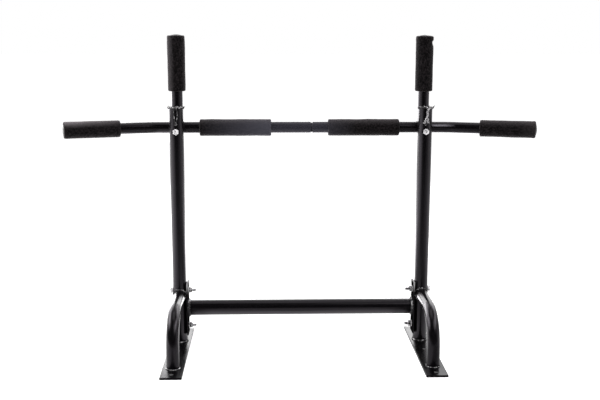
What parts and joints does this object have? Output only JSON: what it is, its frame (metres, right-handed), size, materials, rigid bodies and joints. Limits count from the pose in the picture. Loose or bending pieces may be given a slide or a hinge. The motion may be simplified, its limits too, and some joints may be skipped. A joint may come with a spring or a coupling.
{
  "type": "wall mounted pull-up bar",
  "caption": "Black tubular pull-up bar on two wall plates, with curved braces, a cross tube, bent bar ends, grip stems and foam grips.",
  "frame": {"origin": "middle of the two wall plates, at their undersides, which lie on the wall", "axes": "+Z away from the wall, +X along the pull-up bar, -Y towards the curved braces, which is down when it hangs on a wall. To mount it on a wall, turn it so that +Z points out of the wall and -Y points at the floor."},
  "size_m": [1.1364, 0.36, 0.7598],
  "materials": {
    "powder_coat": "satin black powder coat",
    "zinc": "bright zinc plate",
    "foam": "matte closed-cell foam",
    "cap_plastic": "moulded black plastic"
  },
  "bodies": {
    "root": {"left_wall_plate": "powder_coat", "right_wall_plate": "powder_coat", "left_arm_tube": "powder_coat", "right_arm_tube": "powder_coat", "left_arm_end_plug": "powder_coat", "right_arm_end_plug": "powder_coat", "left_brace_tube": "powder_coat", "right_brace_tube": "powder_coat", "cross_tube": "powder_coat", "left_cross_flange": "powder_coat", "right_cross_flange": "powder_coat", "left_upper_flange_bolt": "zinc", "left_lower_flange_bolt": "zinc", "right_upper_flange_bolt": "zinc", "right_lower_flange_bolt": "zinc", "left_upper_flange_nut": "zinc", "left_lower_flange_nut": "zinc", "right_upper_flange_nut": "zinc", "right_lower_flange_nut": "zinc", "left_upper_flange_washer": "zinc", "left_lower_flange_washer": "zinc", "right_upper_flange_washer": "zinc", "right_lower_flange_washer": "zinc", "left_bar_half": "powder_coat", "right_bar_half": "powder_coat", "bar_joint_sleeve": "zinc", "left_grip_stem": "powder_coat", "right_grip_stem": "powder_coat", "left_inner_foam_grip": "foam", "right_inner_foam_grip": "foam", "left_outer_foam_grip": "foam", "right_outer_foam_grip": "foam", "left_stem_foam_grip": "foam", "right_stem_foam_grip": "foam", "left_bar_end_cap": "cap_plastic", "right_bar_end_cap": "cap_plastic", "left_stem_end_cap": "cap_plastic", "right_stem_end_cap": "cap_plastic", "left_saddle_washer": "powder_coat", "right_saddle_washer": "powder_coat", "left_bar_bolt": "zinc", "right_bar_bolt": "zinc", "left_bar_bolt_washer": "zinc", "right_bar_bolt_washer": "zinc", "left_bar_bolt_nut": "zinc", "right_bar_bolt_nut": "zinc"}
  },
  "joints": []
}
